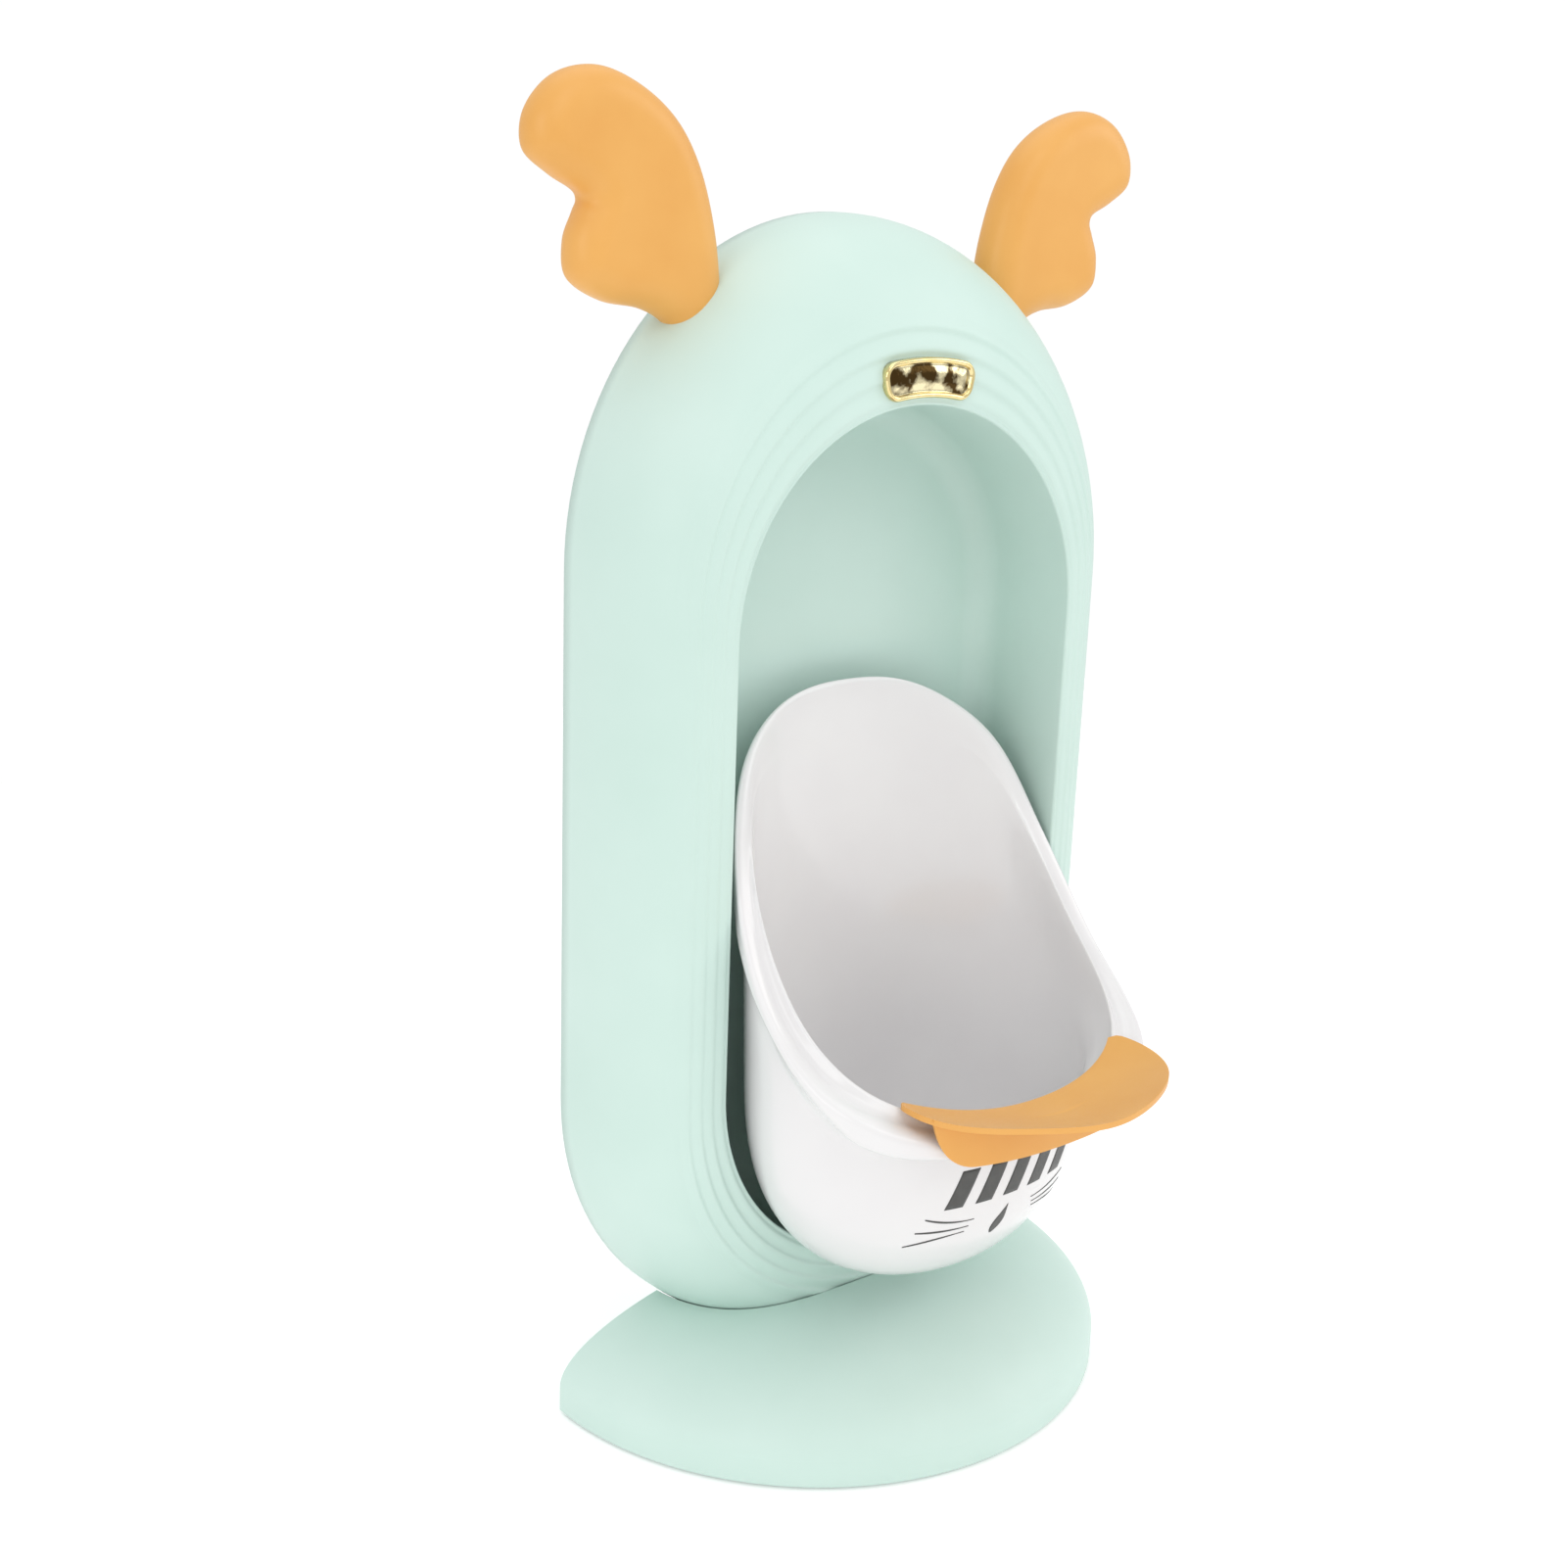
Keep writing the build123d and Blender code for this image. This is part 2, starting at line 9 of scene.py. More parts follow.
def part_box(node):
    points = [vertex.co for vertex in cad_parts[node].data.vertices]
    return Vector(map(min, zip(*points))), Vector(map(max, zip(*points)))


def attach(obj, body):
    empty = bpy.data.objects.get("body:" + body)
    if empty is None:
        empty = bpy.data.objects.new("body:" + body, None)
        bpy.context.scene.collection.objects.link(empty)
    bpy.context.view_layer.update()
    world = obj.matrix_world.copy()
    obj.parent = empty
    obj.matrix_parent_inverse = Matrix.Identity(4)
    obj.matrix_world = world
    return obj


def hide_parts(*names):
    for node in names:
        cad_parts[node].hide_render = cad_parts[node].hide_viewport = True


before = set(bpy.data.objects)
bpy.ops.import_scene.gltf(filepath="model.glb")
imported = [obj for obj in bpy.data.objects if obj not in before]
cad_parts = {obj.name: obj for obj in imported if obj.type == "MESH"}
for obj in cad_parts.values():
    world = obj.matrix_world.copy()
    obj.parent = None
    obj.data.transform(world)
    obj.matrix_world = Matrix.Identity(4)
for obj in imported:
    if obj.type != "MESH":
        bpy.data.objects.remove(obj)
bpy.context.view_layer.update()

mm = 0.001                                   # every size below is in millimetres
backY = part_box("front_shell")[1].y / mm      # Y of the body's back; a depth is a distance forward of it
print("frame loaded, body back at", round(backY, 2), "mm")


# ---- small helpers ----

def superArc(angle, power):                  # unit squarish circle
    c, s = cos(angle), sin(angle)
    return (abs(c) ** (2 / power) * (1 if c >= 0 else -1), abs(s) ** (2 / power) * (1 if s >= 0 else -1))


def heightAt(line, depth):                   # smooth curve through (depth, height) points
    depths, heights = np.array(line, float).T
    slopes = np.gradient(heights, depths)
    k = np.clip(np.searchsorted(depths, depth) - 1, 0, len(depths) - 2)
    step = depths[k + 1] - depths[k]
    t = np.clip((depth - depths[k]) / step, 0, 1)
    return ((2 * t ** 3 - 3 * t ** 2 + 1) * heights[k] + (t ** 3 - 2 * t ** 2 + t) * step * slopes[k]
            + (3 * t ** 2 - 2 * t ** 3) * heights[k + 1] + (t ** 3 - t ** 2) * step * slopes[k + 1])


def ease(t):
    t = np.clip(t, 0, 1)
    return t * t * (3 - 2 * t)


def mix(a, b, t):
    return a + (b - a) * t


def closedCurve(points, count):              # smooth closed outline through a few points
    p = np.array(points, float)
    before, after, beyond = np.roll(p, 1, 0), np.roll(p, -1, 0), np.roll(p, -2, 0)
    per = count // len(p) + 1
    out = []
    for i in range(len(p)):
        for t in np.arange(per) / per:
            out.append(0.5 * (2 * p[i] + (after[i] - before[i]) * t
                              + (2 * before[i] - 5 * p[i] + 4 * after[i] - beyond[i]) * t ** 2
                              + (3 * p[i] - before[i] - 3 * after[i] + beyond[i]) * t ** 3))
    return np.array(out)


def meshFromRings(name, rings, loop=True, ends=(None, None)):
    # rings of (x, depth, z) points become quads; an end is a pole point, "face", or None for open
    mesh = bpy.data.meshes.new(name)
    bm = bmesh.new()
    rows = [[bm.verts.new((x * mm, (backY - d) * mm, z * mm)) for x, d, z in ring] for ring in rings]
    count = len(rows[0])
    for low, high in zip(rows, rows[1:]):
        for j in range(count if loop else count - 1):
            k = (j + 1) % count
            bm.faces.new((low[j], low[k], high[k], high[j]))
    for row, end, flip in ((rows[0], ends[0], True), (rows[-1], ends[1], False)):
        if isinstance(end, str):
            bm.faces.new(row[::-1] if flip else row)
        elif end is not None:
            pole = bm.verts.new((end[0] * mm, (backY - end[1]) * mm, end[2] * mm))
            for j in range(count):
                pair = (row[j], row[(j + 1) % count])
                bm.faces.new((pair[1], pair[0], pole) if flip else (pair[0], pair[1], pole))
    if loop and None not in ends:
        bmesh.ops.recalc_face_normals(bm, faces=bm.faces)
    bm.to_mesh(mesh)
    bm.free()
    piece = bpy.data.objects.new(name, mesh)
    bpy.context.scene.collection.objects.link(piece)
    mesh.shade_smooth()
    return piece


def addModifier(piece, kind, **settings):
    modifier = piece.modifiers.new(kind.lower(), kind)
    for key, value in settings.items():
        setattr(modifier, key, value)
    return modifier


def place(piece, body, slot, material, *nodes):
    piece.data.materials.append(material)
    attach(piece, body)
    if nodes:
        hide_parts(*nodes)
    return piece


# ---- materials ----

def hexColour(text):                         # sRGB hex to linear RGBA
    parts = [int(text[i:i + 2], 16) / 255 for i in (1, 3, 5)]
    return (*(c / 12.92 if c <= 0.04045 else ((c + 0.055) / 1.055) ** 2.4 for c in parts), 1.0)


def addNode(tree, kind, links=(), **values):
    node = tree.nodes.new(kind)
    for key, value in values.items():
        if key in node.inputs:
            node.inputs[key].default_value = value
        else:
            setattr(node, key, value)
    for source, output, target in links:
        tree.links.new(source.outputs[output], node.inputs[target])
    return node


def surface(name, look):
    # colour drifts slightly over the moulding, the gloss varies, and a fine grain or ripple bends the light
    material = bpy.data.materials.new(name)
    material.use_nodes = True
    tree = material.node_tree
    shader = tree.nodes["Principled BSDF"]
    place3d = addNode(tree, "ShaderNodeTexCoord")
    drift = addNode(tree, "ShaderNodeTexNoise", [(place3d, "Object", "Vector")],
                    **{"Scale": 1 / (look["driftSize"] * mm), "Detail": 3.0, "Roughness": 0.5})
    grain = addNode(tree, "ShaderNodeTexNoise", [(place3d, "Object", "Vector")],
                    **{"Scale": 1 / (look["grainSize"] * mm), "Detail": 4.0, "Roughness": 0.6})
    low, high = look.get("spread", (0.25, 0.75))
    share = addNode(tree, "ShaderNodeMapRange", [(drift, "Fac", "Value")],
                    **{"From Min": low, "From Max": high})
    tint = addNode(tree, "ShaderNodeMix", [(share, "Result", "Factor")], data_type="RGBA")
    tint.inputs[6].default_value, tint.inputs[7].default_value = (hexColour(c) for c in look["colours"])
    sharp, dull = look["gloss"]
    polish = addNode(tree, "ShaderNodeMapRange", [(grain, "Fac", "Value")],
                     **{"From Min": 0.3, "From Max": 0.7, "To Min": sharp, "To Max": dull})
    relief = addNode(tree, "ShaderNodeBump", [(grain, "Fac", "Height")],
                     **{"Strength": look["bump"], "Distance": look["relief"] * mm})
    tree.links.new(tint.outputs[2], shader.inputs["Base Color"])
    tree.links.new(polish.outputs["Result"], shader.inputs["Roughness"])
    tree.links.new(relief.outputs["Normal"], shader.inputs["Normal"])
    for socket, value in look.get("sockets", {}).items():
        shader.inputs[socket].default_value = value
    return material


# polypropylene, injection moulded in a spark-eroded tool: an even satin skin with a very fine grain
satinMint = surface("satinPolypropyleneMint", {
    "colours": ("#C5DDD4", "#CCE2DA"), "driftSize": 60, "grainSize": 0.8, "gloss": (0.42, 0.52),
    "bump": 0.12, "relief": 0.05, "sockets": {"IOR": 1.49, "Specular IOR Level": 0.4}})
# the same plastic and grain, moulded in warm orange
satinOrange = surface("satinPolypropyleneOrange", {
    "colours": ("#E0A250", "#E6AC5B"), "driftSize": 30, "grainSize": 0.7, "gloss": (0.36, 0.46),
    "bump": 0.12, "relief": 0.05, "sockets": {"IOR": 1.49, "Specular IOR Level": 0.45}})
# polypropylene from a polished tool: clean gloss with the faint ripple of thin walls as they cool
glossWhite = surface("glossPolypropyleneWhite", {
    "colours": ("#E2E0E1", "#E6E5E5"), "driftSize": 45, "grainSize": 9, "gloss": (0.12, 0.2),
    "bump": 0.06, "relief": 0.12, "sockets": {"IOR": 1.49, "Coat Weight": 0.15, "Coat Roughness": 0.08}})
# chrome-type plating in pale gold over plastic: mirror bright, with tiny waves that break its reflections
platedGold = surface("goldPlating", {
    "colours": ("#EFE0AE", "#E6CF8E"), "driftSize": 5, "grainSize": 1.6, "gloss": (0.05, 0.12),
    "bump": 0.25, "relief": 0.1, "sockets": {"Metallic": 1.0}})
# steel screws, rolled and zinc plated: cool grey with a patchy dull shine
zincSteel = surface("zincPlatedSteel", {
    "colours": ("#B9BCC0", "#A6A9AD"), "driftSize": 2, "grainSize": 0.4, "gloss": (0.28, 0.42),
    "bump": 0.2, "relief": 0.03, "sockets": {"Metallic": 1.0}})
# thermoplastic rubber, moulded: dead matt grey that hides its edges
greyRubber = surface("mouldedRubberGrey", {
    "colours": ("#9A9E9C", "#8F9391"), "driftSize": 6, "grainSize": 0.5, "gloss": (0.75, 0.88),
    "bump": 0.3, "relief": 0.06, "sockets": {"IOR": 1.5}})
# the same plating down in the field, with a painted reflection in its colour: dark brown patches and cream
# highlights stand in for the dark rim it would mirror
badgeFieldPaintedReflection = surface("goldPlatingPaintedReflection", {
    "colours": ("#E9DDB4", "#4A381C"), "spread": (0.44, 0.56), "driftSize": 7, "grainSize": 1.4,
    "gloss": (0.08, 0.16), "bump": 0.35, "relief": 0.15, "sockets": {"Metallic": 1.0}})
# pad-printed ink: a thin film, dark grey, a little uneven where the pad lifted
printInk = surface("padPrintInk", {
    "colours": ("#3F3F3E", "#4B4B49"), "driftSize": 4, "grainSize": 0.5, "gloss": (0.35, 0.5),
    "bump": 0.15, "relief": 0.02, "sockets": {"IOR": 1.5}})
print("materials made")

# ---- body: outer skin, stepped rim and niche in one moulding ----
body = {
    "halfWidth": 107.5, "topCentre": 303.2, "topRise": 115.0, "bottomCentre": 118.7, "bottomRise": 109.6,
    "rimDepth": 52.0, "rimHalfWidth": 76.0, "power": 2.31, "seat": 15.0, "wall": 2.4,
    "nicheHalfWidth": 74.8, "nicheTop": 282.7, "nicheBottom": 129.8, "nicheBack": 7.1, "nicheCorner": 11.0,
    "steps": 4, "stepWidth": 3.9, "stepHeight": 0.75, "stepRise": 0.3, "sideStep": 0.3, "fadeLength": 45.0,
    "edgeRadius": 0.9, "wallDepths": (48, 42, 34, 26, 20), "backInsets": (25, 42, 60, 71),
}


def capsuleRing(halfWidth, top, topRise, bottom, bottomRise, depth, arcSteps=64, sideSteps=14):
    ring = []
    for j in range(arcSteps):
        a = pi * j / arcSteps
        ring.append((halfWidth * cos(a), depth, top + topRise * sin(a)))
    for j in range(sideSteps):
        ring.append((-halfWidth, depth, mix(top, bottom, j / sideSteps)))
    for j in range(arcSteps):
        a = pi + pi * j / arcSteps
        ring.append((halfWidth * cos(a), depth, bottom + bottomRise * sin(a)))
    for j in range(sideSteps):
        ring.append((halfWidth, depth, mix(bottom, top, j / sideSteps)))
    return ring


def shoulderRing(outward, forward, lift=0.0):
    b = body
    ring = capsuleRing(mix(b["rimHalfWidth"], b["halfWidth"], outward),
                       mix(b["nicheTop"], b["topCentre"], outward),
                       mix(b["rimHalfWidth"], b["topRise"], outward),
                       mix(b["nicheBottom"], b["bottomCentre"], outward),
                       mix(b["rimHalfWidth"], b["bottomRise"], outward), b["rimDepth"] * forward)
    fades = [ease(max(z - b["nicheTop"], b["nicheBottom"] - z) / b["fadeLength"]) for x, d, z in ring]
    return [(x, d + lift * mix(b["sideStep"], 1, fade), z) for (x, d, z), fade in zip(ring, fades)]


def stepLift(inward):                        # rounded saw profile, in steps that fall towards the opening
    b = body
    if inward > b["steps"] * b["stepWidth"]:
        return 0.0
    part = (inward / b["stepWidth"]) % 1.0   # 0 at a step's inner foot
    rise = ease(part / b["stepRise"]) if part < b["stepRise"] else 1 - ease((part - b["stepRise"]) / 0.7)
    return b["stepHeight"] * (rise - 0.5)


def makeBody():
    b = body
    rings = []
    spread = b["halfWidth"] - b["rimHalfWidth"]
    ridged = b["steps"] * b["stepWidth"] / spread
    outwards = [cos(radians(a)) ** (2 / b["power"]) for a in np.arange(0, 68, 4)]
    outwards = [o for o in outwards if o > ridged + 0.02]
    outwards += [ridged * (1 - k / 48) for k in range(49)]
    for outward in outwards:
        forward = (1 - outward ** b["power"]) ** (1 / b["power"])
        rings.append(shoulderRing(outward, forward, stepLift(outward * spread)))
    width, r = b["nicheHalfWidth"], b["edgeRadius"]

    def nicheRing(inset, depth):
        w = width - inset
        return capsuleRing(w, b["nicheTop"], w, b["nicheBottom"], w, depth)
    for a in np.arange(15, 91, 15):          # rounded edge of the opening
        rings.append(nicheRing(r * (sin(radians(a)) - 1), b["rimDepth"] - r * (1 - cos(radians(a)))))
    for depth in b["wallDepths"]:
        rings.append(nicheRing(0, depth))
    c = b["nicheCorner"]
    for a in np.arange(0, 91, 9):
        rings.append(nicheRing(c * (1 - cos(radians(a))), b["nicheBack"] + c * (1 - sin(radians(a)))))
    for inset in b["backInsets"]:
        rings.append(nicheRing(inset, b["nicheBack"]))
    rings = [[(x, d, max(z, b["seat"])) for x, d, z in ring] for ring in rings]
    piece = meshFromRings("bodyShell", rings, ends=(None, "face"))
    addModifier(piece, "SOLIDIFY", thickness=b["wall"] * mm, offset=-1)
    return place(piece, "stand", "mint", satinMint, "front_shell")


makeBody()
print("body made")

# ---- tub: rounded bowl, flared to a rolled lip with a collar ----
tub = {
    "power": 2.4, "wallPower": 2.05, "floor": 56.5, "round": 74.0, "halfWidth": 70.6, "halfDepth": 47.2,
    "centre": 68.6, "draft": 0.0005, "draftZ": 150.0, "draftStop": 192.0, "roundPower": 2.54, "wall": 2.6,
    "frontFlare": 14.0, "rearFlare": 45.0, "flareFrom": 20, "flareOver": 100, "rearDepth": 51.0,
    "around": 192, "rows": 34, "rowPower": 1.8,
    "lipFoot": 1.2, "lipEdge": 2.5, "collarDrop": 4.5, "wallDrop": 6.5,
    # ovals: half width, front, rear, centre
    "rim": (66.7, 52.2, 52.2, 70.8), "lip": (76.4, 58.2, 59.0, 76.0),
    "mouthLine": ((8, 243.5), (16.5, 241.5), (24, 236), (34, 227), (50, 201.5), (70, 174), (95, 151.5),
                  (115, 139), (130, 132.5), (142, 130)),
    "lipLine": ((8, 266.5), (16, 259.2), (24, 248.6), (34, 234.3), (50, 201.8), (70, 171.4), (95, 149.4),
                (115, 139.2), (130, 132.6), (142, 129)),
    "collarLine": ((8, 244), (14, 240), (24, 227), (35, 211.5), (49, 189), (63, 172), (83, 153.5), (94, 145),
                   (102, 138.5), (109, 132.5), (117, 129), (142, 127)),
    # across the lip: share of the way out, share of the rise, and a crown in millimetres
    "lipSection": ((0.015, 0.0, -0.5), (0.05, 0.06, -0.05), (0.1, 0.3, 0.25), (0.16, 0.62, 0.45),
                   (0.25, 0.88, 0.6), (0.36, 1.0, 0.75), (0.5, 1.0, 0.8), (0.64, 1.0, 0.65),
                   (0.78, 1.0, 0.25), (0.89, 1.0, -0.45), (0.96, 1.0, -1.3), (1.0, 1.0, -2.5)),
    # under the collar: share of the way in to the wall, and a drop in millimetres
    "collarSection": ((0.04, 0.75), (0.12, 1.15), (0.3, 1.6), (0.55, 2.4), (0.78, 3.4), (0.93, 4.6)),
}


def tubSize(z, inset):
    floor = tub["floor"] + inset
    up = np.clip((z - floor) / tub["round"], 0, 1)
    rounding = (1 - (1 - up) ** tub["roundPower"]) ** (1 / tub["roundPower"])
    return rounding * (1 + tub["draft"] * (np.minimum(z, tub["draftStop"]) - tub["draftZ"]))


def tubWall(turn, z, inset):                 # point on the tub's wall at an angle and height
    c, s = superArc(turn, tub["wallPower"])
    size = tubSize(z, inset)
    half = tub["rearDepth"] if s < 0 else tub["halfDepth"]
    return np.array((c * (tub["halfWidth"] - inset) * size, tub["centre"] + s * (half - inset) * size))


def onOval(turn, oval):
    c, s = superArc(turn, tub["power"])
    return np.array((c * oval[0], oval[3] + s * (oval[1] if s > 0 else oval[2])))


def tubProfile(turn):                        # one section: inside bottom, over the lip, outside bottom
    t = tub
    inner, outer = onOval(turn, t["rim"]), onOval(turn, t["lip"])
    zIn, zOut = heightAt(t["mouthLine"], inner[1]), heightAt(t["lipLine"], outer[1])
    zCollar = heightAt(t["collarLine"], outer[1])
    points = []
    floor = t["floor"] + t["wall"]
    shares = [(k / t["rows"]) ** t["rowPower"] for k in range(1, t["rows"] + 1)]    # closer near the bottom
    flare = mix(t["rearFlare"], t["frontFlare"], ease((inner[1] - t["flareFrom"]) / t["flareOver"]))

    def wallAt(z, inset):                    # the wall bends out under the lip, both faces together
        halfWidth, front, rear, centre = t["rim"]
        grow = t["wall"] - inset
        target = onOval(turn, (halfWidth + grow, front + grow, rear + grow, centre))
        return mix(tubWall(turn, z, inset), target, ease((z - zIn + t["lipFoot"] + flare) / flare))
    for z in [mix(floor, zIn - t["lipFoot"], share) for share in shares]:
        points.append((*wallAt(z, t["wall"]), z))
    for out, rise, crown in t["lipSection"]:
        points.append((*mix(inner, outer, out), mix(zIn, zOut, rise) + crown))
    top = zOut - t["lipEdge"]
    low = min(zCollar + t["lipFoot"], top - 0.5)
    for share in (0.33, 0.66, 1.0):
        points.append((*outer, mix(top, low, share)))
    wallPoint = wallAt(low - t["collarDrop"], 0)
    for out, drop in t["collarSection"]:
        points.append((*mix(outer, wallPoint, out), low - drop))
    for z in [mix(t["floor"], low - t["wallDrop"], share) for share in shares[::-1]]:
        points.append((*wallAt(z, 0), z))
    return points


def makeTub():
    t = tub
    columns = [tubProfile(2 * pi * k / t["around"]) for k in range(t["around"])]
    rings = [[column[i] for column in columns] for i in range(len(columns[0]))]
    piece = meshFromRings("tub", rings, ends=((0, t["centre"], t["floor"] + t["wall"]),
                                               (0, t["centre"], t["floor"])))
    return place(piece, "bowl", "white", glossWhite, "bowl")


makeTub()

# bevelled hook on the tub's back, which sits on the cleat in the niche
hook = {
    "halfWidth": 25.0, "back": 7.6, "front": 17.6, "low": 215.0, "top": 232.0, "edge": 1.0,
    "bevel": (4, 10.0),                      # at the top and at the foot
}


def makeHook():
    h = hook
    topBevel, lowBevel = h["bevel"]
    profile = ((h["back"], h["low"]), (h["back"], h["top"]),
               (h["front"], h["top"] - topBevel), (h["front"], h["low"] + lowBevel))
    rings = [[(x, d, z) for d, z in profile] for x in (-h["halfWidth"], h["halfWidth"])]
    piece = meshFromRings("tubHook", rings, ends=("face", "face"))
    addModifier(piece, "BEVEL", width=h["edge"] * mm, segments=3)
    return place(piece, "bowl", "white", glossWhite)


makeHook()
print("tub made")

# ---- splash guard: a thin dished visor and a skirt over the collar ----
guard = {
    "halfWidth": 52.0, "reach": 41.2, "centre": 118.6, "tipAngle": -9.0, "innerHalfWidth": 48.5, "sheet": 2.0,
    "innerMid": 136.0, "innerTip": 142.6, "outerMid": 142.9, "outerSide": 144.8, "outerTip": 143.6,
    "dish": 1.6, "tipFrom": 0.6, "tipOver": 0.4, "sideGain": 1.7,
    "rimGap": 0.8, "tipLength": 0.018, "tipInset": 0.5, "sheetEdge": 0.75, "skirtEdge": 0.6, "edgeAngle": 50,
    "skirtHalfWidth": 49.2, "skirtBottom": 125.0, "skirtCorner": 13.0, "skirtGap": 0.5, "skirtFlare": 0.05,
    "skirtTop": 137.2, "skirtEndRise": 6.0, "flareStart": 133, "flareHeight": 11,
    "lean": 0.35, "leanHeight": 14,
}


def visorPoint(u, v):                        # u runs tip to tip, v from the inner to the outer edge
    g = guard
    turn = radians(mix(g["tipAngle"], 180 - g["tipAngle"], u))
    outer = np.array((g["halfWidth"] * cos(turn), g["centre"] + g["reach"] * sin(turn)))
    x = g["innerHalfWidth"] * cos(pi * u)
    halfWidth, halfDepth, centre = (tub["rim"][k] for k in (0, 1, 3))
    bow = (1 - abs(x / (halfWidth - g["rimGap"])) ** tub["power"]) ** (1 / tub["power"])
    inner = np.array((x, centre + (halfDepth - g["rimGap"]) * bow))
    side = abs(cos(pi * u))
    zInner = mix(g["innerMid"], g["innerTip"], side ** 2)
    zSide = mix(g["outerMid"], g["outerSide"], ease(side * g["sideGain"]))
    zOuter = mix(zSide, g["outerTip"], ease((side - g["tipFrom"]) / g["tipOver"]))
    z = mix(zInner, zOuter, v) - g["dish"] * sin(pi * v) * (1 - side ** 4)
    return (*mix(inner, outer, v), z)


def makeVisor():
    g = guard
    along, across = 96, 20
    rings = []
    for i in range(along + 1):
        u = i / along
        toTip = max(0.0, 1 - min(u, 1 - u) / g["tipLength"])
        inset = g["tipInset"] * (1 - sqrt(max(0.0, 1 - toTip ** 2)))       # rounded tips
        row = [visorPoint(u, mix(inset, 1 - inset * 0.4, k / across)) for k in range(across + 1)]
        rings.append(row + [(x, d, z - g["sheet"]) for x, d, z in row[::-1]])
    piece = meshFromRings("splashGuardVisor", rings, ends=("face", "face"))
    addModifier(piece, "BEVEL", width=g["sheetEdge"] * mm, segments=3, limit_method="ANGLE",
                angle_limit=radians(g["edgeAngle"]))
    return place(piece, "splash_guard", "orange", satinOrange, "splash_guard")


def makeSkirt():
    g = guard
    lip = tub["lip"]
    columns = []
    steps, rows = 72, 14
    for i in range(steps + 1):
        s = 2 * i / steps - 1
        x = g["skirtHalfWidth"] * sin(s * pi / 2)
        edge = g["skirtHalfWidth"] - abs(x)
        corner = g["skirtCorner"]
        low = g["skirtBottom"] + 0.4 * (x / 30) ** 2
        if edge < corner:
            low += corner - sqrt(max(corner ** 2 - (corner - edge) ** 2, 0))
        top = g["skirtTop"] + g["skirtEndRise"] * (x / g["skirtHalfWidth"]) ** 2
        column = []
        for k in range(rows + 1):
            z = mix(low, top, k / rows)
            lean = g["lean"] * (z - g["skirtBottom"]) / g["leanHeight"]    # out towards the visor
            rise = max(z - g["flareStart"], 0) / g["flareHeight"]
            wide = 1 + g["skirtFlare"] * rise ** 2                         # and wider near the top
            column.append((x * wide, z, lean))
        columns.append(column)

    def depthOf(x, grow):
        a, b, c = lip[0] + grow, lip[1] + grow, lip[3]
        return c + b * (1 - abs(x / a) ** tub["power"]) ** (1 / tub["power"])
    rings = []
    for column in columns:
        outside = [(x, depthOf(x, g["skirtGap"] + g["sheet"] + lean), z) for x, z, lean in column]
        inside = [(x * (1 - 0.02), depthOf(x * 0.98, g["skirtGap"]), z) for x, z, lean in column]
        rings.append(outside + inside[::-1])
    piece = meshFromRings("splashGuardSkirt", rings, ends=("face", "face"))
    addModifier(piece, "BEVEL", width=g["skirtEdge"] * mm, segments=3, limit_method="ANGLE",
                angle_limit=radians(g["edgeAngle"]))
    return place(piece, "splash_guard", "orange", satinOrange)


makeVisor()
makeSkirt()
print("splash guard made")

# ---- antlers: soft two-lobed pads ----
antler = {
    "centre": 12.0, "thickness": 18.5, "edge": 10.5, "power": 2.2, "pole": (90.0, 414.0),
    "shrink": (0.055, 0.01), "points": 260, "rings": 42,
    "outline": ((57, 376), (57.3, 394), (60.2, 412), (66.5, 430), (76, 443.6), (90, 453), (106.5, 457.6),
                (121.5, 454), (131.2, 443.5), (131.6, 431.8), (122.5, 425), (114, 421), (111.4, 418.4),
                (112.9, 414.8), (116.4, 406), (115, 394.5), (103, 388), (88, 385.8), (77.5, 381.5),
                (69, 373)),
}


def makeAntler(name, side, node):
    a = antler
    pole = np.array(a["pole"])
    outline = mix(closedCurve(a["outline"], a["points"]), pole, np.array(a["shrink"]))
    start, step = outline, np.roll(outline, -1, 0) - outline
    lengths = (step ** 2).sum(1)

    def padHeight(points):                   # half thickness from the distance to the outline
        away = points[:, None, :] - start[None]
        t = np.clip((away * step[None]).sum(2) / lengths[None], 0, 1)
        gap = np.sqrt(((away - t[..., None] * step[None]) ** 2).sum(2)).min(1)
        u = np.clip(gap / a["edge"], 0, 1)
        return a["thickness"] / 2 * (1 - (1 - u) ** a["power"]) ** (1 / a["power"])
    shares = 1 - np.cos(np.linspace(0, pi / 2, a["rings"] + 2)[1:-1])
    rings = []
    for share in shares[::-1]:
        flat = mix(outline, pole, share)
        rings.append([(side * x, a["centre"] + h, z) for (x, z), h in zip(flat, padHeight(flat))])
    rings.append([(side * x, a["centre"], z) for x, z in outline])
    for share in shares:
        flat = mix(outline, pole, share)
        rings.append([(side * x, a["centre"] - h, z) for (x, z), h in zip(flat, padHeight(flat))])
    half = a["thickness"] / 2
    piece = meshFromRings(name, rings, ends=((side * pole[0], a["centre"] + half, pole[1]),
                                             (side * pole[0], a["centre"] - half, pole[1])))
    addModifier(piece, "SMOOTH", factor=0.5, iterations=4)
    return place(piece, "stand", "orange", satinOrange, node)


makeAntler("antlerRight", 1, "right_antler")
makeAntler("antlerLeft", -1, "left_antler")
print("antlers made")

# ---- badge: plain arched plate with a raised rim ----
badge = {
    "radius": 83.9, "halfLength": 19.7, "halfHeight": 6.6, "corner": 5.3, "rimRings": 8,
    # from the back's edge over the rim and into the field: distance in from the outline, and depth
    "section": ((0, 51.0), (0, 52.9), (0.12, 53.4), (0.4, 53.8), (0.8, 54.0), (1.25, 53.95), (1.6, 53.7),
                (1.85, 53.3), (2.0, 52.95), (2.25, 52.8), (2.9, 52.95), (4.0, 53.25), (5.2, 53.45),
                (6.3, 53.5)),
}


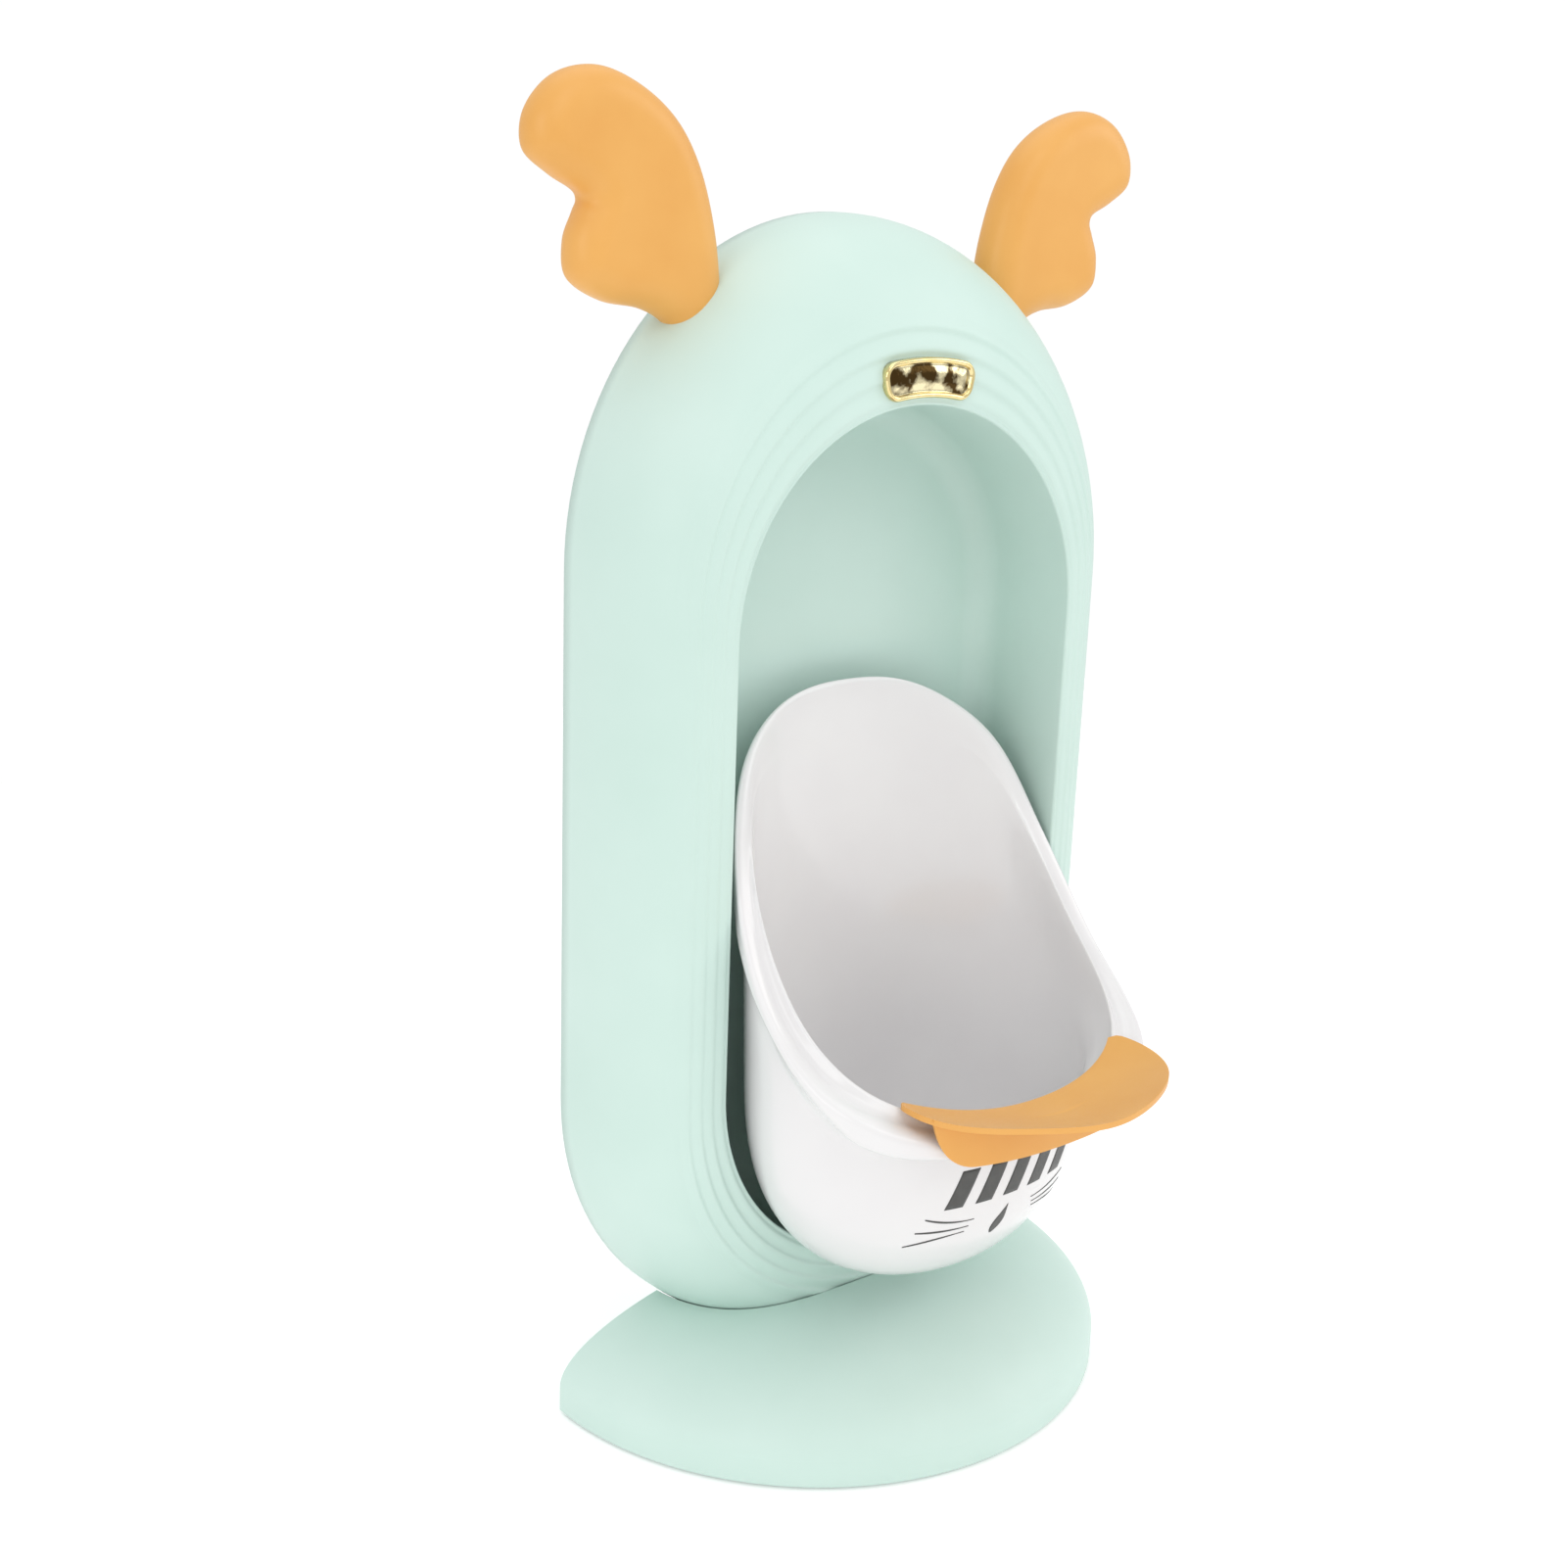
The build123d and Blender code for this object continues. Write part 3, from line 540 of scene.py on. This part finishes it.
def makeBadge():
    b = badge

    def ring(inset, depth):
        long, high = b["halfLength"] - inset, b["halfHeight"] - inset
        corner = max(min(b["corner"] - inset, high), 0.3)
        points = []
        for quarter, (cx, cy) in enumerate(((1, 1), (-1, 1), (-1, -1), (1, -1))):
            for k in range(13):
                a = pi / 2 * (quarter + k / 12)
                points.append((cx * (long - corner) + corner * cos(a),
                               cy * (high - corner) + corner * sin(a)))
            if quarter % 2 == 0:                     # extra points along the long sides, so that they bend
                for k in range(1, 16):
                    points.append((mix(cx, -cx, k / 16) * (long - corner), cy * high))
        out = []
        for s, v in points:
            r, turn = b["radius"] + v, s / b["radius"]
            out.append((r * sin(turn), depth, body["nicheTop"] + r * cos(turn)))
        return out
    rings = [ring(inset, depth) for inset, depth in b["section"]]
    piece = meshFromRings("badge", rings, ends=("face", "face"))
    piece.data.materials.append(platedGold)
    # the field takes the plating whose colour carries the painted reflection
    piece.data.materials.append(badgeFieldPaintedReflection)
    for face in piece.data.polygons:         # the field is everything inside the rim
        face.material_index = int(face.index >= len(ring(0, 0)) * b["rimRings"])
    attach(piece, "stand")
    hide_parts("badge")
    return piece


makeBadge()
print("badge made")

# ---- print on the tub's front: slanted bars, a drop and whiskers ----
ink = {
    "film": 0.12, "root": -0.3, "barWidth": 7.0, "barStep": 12.2, "barCount": 5,
    "barLow": 97.0, "barHigh": 111.5, "slant": 4.5, "barShift": 4.5,
    "dropTop": 92.5, "dropLow": 80.5, "dropHalfWidth": 2.9,
    "dropShift": -1, "dropSlant": 4, "whiskerWidth": 0.75, "whiskerShift": 2.0,
    "whiskers": (((37.5, 82.5), (26.5, 85), (16.5, 85.5)), ((35.5, 88.5), (25.5, 87.3), (15.5, 87.7)),
                 ((33.5, 94), (24.5, 90.3), (14, 90.3))),
}


def onTub(x, z, lift):                       # point in front of the tub's wall
    size = tubSize(z, 0)
    a, b = tub["halfWidth"] * size + lift, tub["halfDepth"] * size + lift
    return (x, tub["centre"] + b * (1 - abs(x / a) ** tub["wallPower"]) ** (1 / tub["wallPower"]), z)


def inkPatch(name, rows):                    # rows of (x, z) points across a mark
    rings = []
    for row in rows:
        top = [onTub(x, z, ink["film"]) for x, z in row]
        rings.append(top + [onTub(x, z, ink["root"]) for x, z in row[::-1]])
    return place(meshFromRings(name, rings, ends=("face", "face")), "bowl", "rubber", printInk)


def makePrint():
    i = ink
    middle = (i["barCount"] - 1) / 2
    for n in range(i["barCount"]):
        x = (n - middle) * i["barStep"] + i["barShift"]
        rows = []
        for k in range(13):
            z = mix(i["barLow"], i["barHigh"], k / 12)
            shift = i["slant"] * (k / 12 - 0.5)
            rows.append([(x + shift + i["barWidth"] * (j / 8 - 0.5), z) for j in range(9)])
        inkPatch("printBar" + str(n + 1), rows)
    rows = []
    for k in range(15):
        share = 0.02 + 0.96 * k / 14
        wide = i["dropHalfWidth"] * sin(pi * share) ** 0.8 * (1.25 - share)
        z = mix(i["dropLow"], i["dropTop"], share)
        rows.append([(i["dropShift"] + i["dropSlant"] * share + wide * (j / 3 - 1), z) for j in range(7)])
    inkPatch("printDrop", rows)
    for side in (1, -1):
        for n, (start, bend, end) in enumerate(i["whiskers"]):
            start, bend, end = (np.array(p, float) for p in (start, bend, end))
            rows = []
            for k in range(17):
                t = k / 16
                x, z = start * (1 - t) ** 2 + 2 * bend * t * (1 - t) + end * t ** 2
                half = i["whiskerWidth"] / 2 * (0.45 + 0.55 * sin(pi * min(t + 0.15, 1)))
                x = side * x + i["whiskerShift"]
                rows.append([(x, z - half), (x, z), (x, z + half)])
            inkPatch("whisker" + ("Right" if side > 0 else "Left") + str(n + 1), rows)


makePrint()
print("print made")

# ---- finishes for the parts that keep their own shape ----
finishes = {
    satinMint: ("back_cover", "bowl_hanger", "foot_cover", "foot_plate"),
    zincSteel: ("back_cover_screws", "hanger_screws", "antler_screws", "antler_washers", "foot_plate_screws",
                "stand_screws"),
    greyRubber: ("rear_right_foot", "rear_left_foot", "front_right_foot", "front_left_foot"),
}
for material, names in finishes.items():
    for name in names:
        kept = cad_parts[name]
        for materialSlot in kept.material_slots:
            materialSlot.material = material
        if not kept.material_slots:
            kept.data.materials.append(material)
print("finishes set")

# ---- floor, light and camera ----
studio = {
    "azimuth": -39.33, "elevation": 15.23, "roll": 2.08, "lens": 46.10, "sensor": 36.0,
    "camera": (-0.45846, -0.46442, 0.40930), "world": 0.81, "backdrop": 1.01,
    "floor": "#FFFFFF", "floorGlow": 0.12, "floorHalf": 1.0, "aim": (0, 0, 0.22),
    # lights: watts, size and place in metres
    "lights": {
        "leftLight": (5.5, 1.0, (-1.7, -0.6, 0.9)), "rightLight": (6, 1.0, (1.5, -0.9, 1.1)),
        "frontLight": (6, 1.2, (-0.2, -1.5, 1.8)), "topLight": (6, 1.6, (0.1, 0.2, 2.0)),
    },
}


def makeStudio():
    s = studio
    scene = bpy.context.scene
    scene.view_settings.view_transform = "Standard"
    floorMesh = bpy.data.meshes.new("floor")
    half = s["floorHalf"]
    corners = [(-half, -half, 0), (half, -half, 0), (half, half, 0), (-half, half, 0)]
    floorMesh.from_pydata(corners, [], [(0, 1, 2, 3)])
    floor = bpy.data.objects.new("floor", floorMesh)
    scene.collection.objects.link(floor)
    material = bpy.data.materials.new("paintedBoardWhite")
    material.use_nodes = True
    shader = material.node_tree.nodes["Principled BSDF"]
    shader.inputs["Base Color"].default_value = hexColour(s["floor"])
    shader.inputs["Roughness"].default_value = 0.9
    shader.inputs["Emission Color"].default_value = (1, 1, 1, 1)
    shader.inputs["Emission Strength"].default_value = s["floorGlow"]      # keeps the shadows faint
    floorMesh.materials.append(material)
    world = bpy.data.worlds.new("studio")
    scene.world = world
    world.use_nodes = True
    background = world.node_tree.nodes["Background"]
    background.inputs["Color"].default_value = (1, 1, 1, 1)
    path = addNode(world.node_tree, "ShaderNodeLightPath")
    glow = addNode(world.node_tree, "ShaderNodeMapRange", [(path, "Is Camera Ray", "Value")],
                   **{"To Min": s["world"], "To Max": s["backdrop"]})      # backdrop brighter than its light
    world.node_tree.links.new(glow.outputs["Result"], background.inputs["Strength"])
    for name, (power, size, spot) in s["lights"].items():
        light = bpy.data.lights.new(name, "AREA")
        light.energy, light.size = power, size
        lamp = bpy.data.objects.new(name, light)
        lamp.location = spot
        lamp.rotation_euler = (Vector(s["aim"]) - Vector(spot)).to_track_quat("-Z", "Y").to_euler()
        scene.collection.objects.link(lamp)
    a, e, r = (radians(s[k]) for k in ("azimuth", "elevation", "roll"))
    back = Vector((sin(a) * cos(e), -cos(a) * cos(e), sin(e)))
    right = Vector((cos(a), sin(a), 0))
    up = back.cross(right)
    across = right * cos(r) + up * sin(r)
    above = up * cos(r) - right * sin(r)
    lens = bpy.data.cameras.new("camera")
    lens.lens, lens.sensor_width = s["lens"], s["sensor"]
    camera = bpy.data.objects.new("camera", lens)
    turned = Matrix((across, above, back)).transposed().to_4x4()
    camera.matrix_world = Matrix.Translation(s["camera"]) @ turned
    scene.collection.objects.link(camera)
    scene.camera = camera


makeStudio()
print("studio made")
